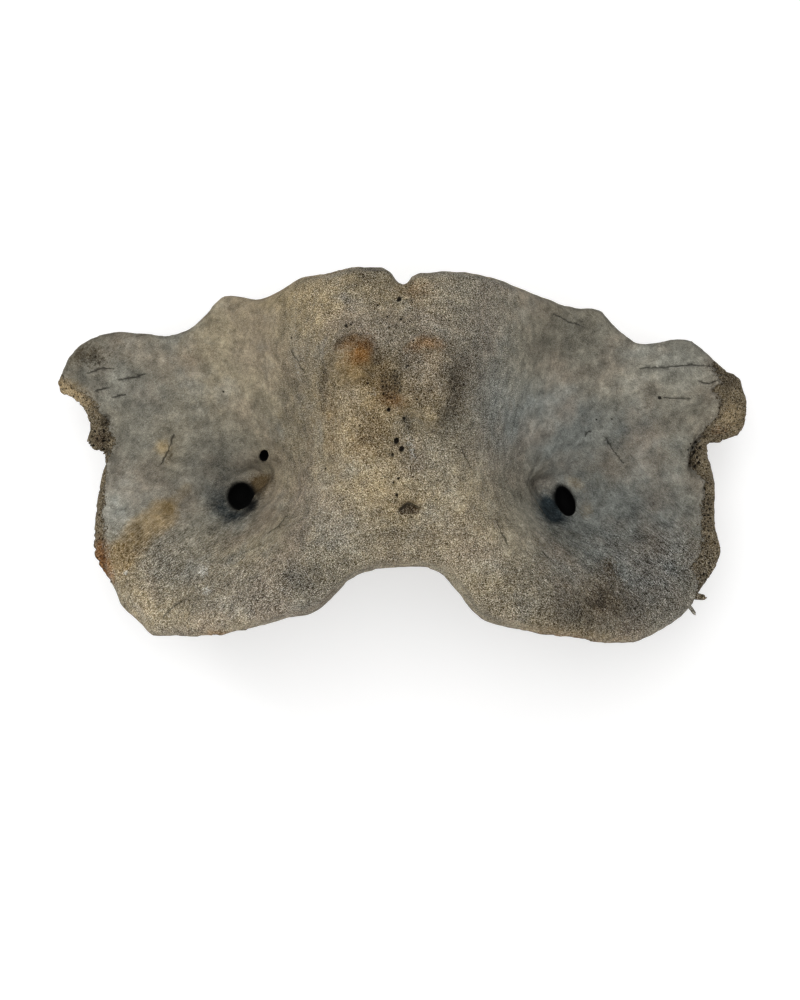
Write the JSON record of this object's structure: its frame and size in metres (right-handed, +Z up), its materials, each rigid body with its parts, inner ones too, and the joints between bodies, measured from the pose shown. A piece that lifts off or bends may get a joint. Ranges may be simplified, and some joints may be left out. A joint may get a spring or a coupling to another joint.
{
  "type": "cow atlas vertebra",
  "caption": "Weathered first neck bone of a cow, lying back side up, with broad worn wings, a wide canal and hollow joint cups for the skull.",
  "frame": {"origin": "on the floor, under the middle of the bone's box", "axes": "+X towards the animal's left wing, +Y towards its tail, +Z up, towards its back"},
  "size_m": [0.1504, 0.081, 0.074],
  "materials": {
    "bone": "dry weathered bone, matt, grey-tan"
  },
  "bodies": {
    "root": {"atlas": "bone"}
  },
  "joints": []
}
